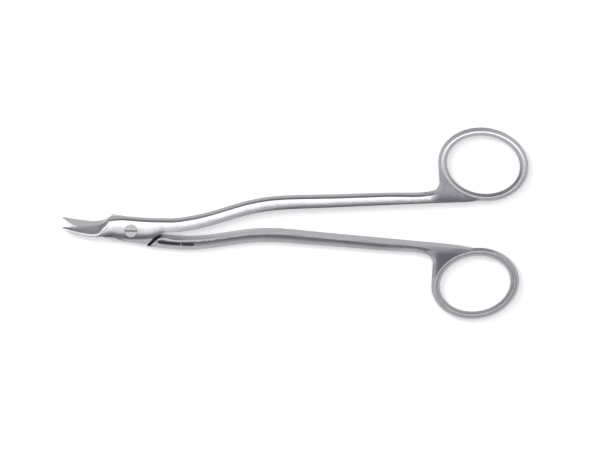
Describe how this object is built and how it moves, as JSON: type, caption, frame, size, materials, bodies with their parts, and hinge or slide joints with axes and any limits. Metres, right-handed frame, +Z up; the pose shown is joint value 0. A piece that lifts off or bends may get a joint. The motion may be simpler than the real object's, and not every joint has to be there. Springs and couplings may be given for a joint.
{
  "type": "suture scissors",
  "caption": "Steel suture scissors with short blades angled upward, a slotted pivot screw, bent shanks and oval finger rings.",
  "frame": {"origin": "on the pivot axis, at the face of the joint that lies on the table", "axes": "+X from the pivot along the scissors to the finger rings, +Z up along the pivot axis to the slotted head, +Y towards the ring of the front half"},
  "size_m": [0.1697, 0.0696, 0.0047],
  "materials": {
    "half_steel": "satin ground stainless steel",
    "screw_steel": "turned stainless steel"
  },
  "bodies": {
    "back": {"back_half": "half_steel", "pivot_screw": "screw_steel"},
    "front": {"front_half": "half_steel"}
  },
  "joints": [
    {"name": "pivot", "type": "hinge", "parent": "back", "child": "front", "pos_m": [0, 0, 0.00215], "axis": [0, 0, 1], "range_deg": [-7.4, 100]}
  ]
}
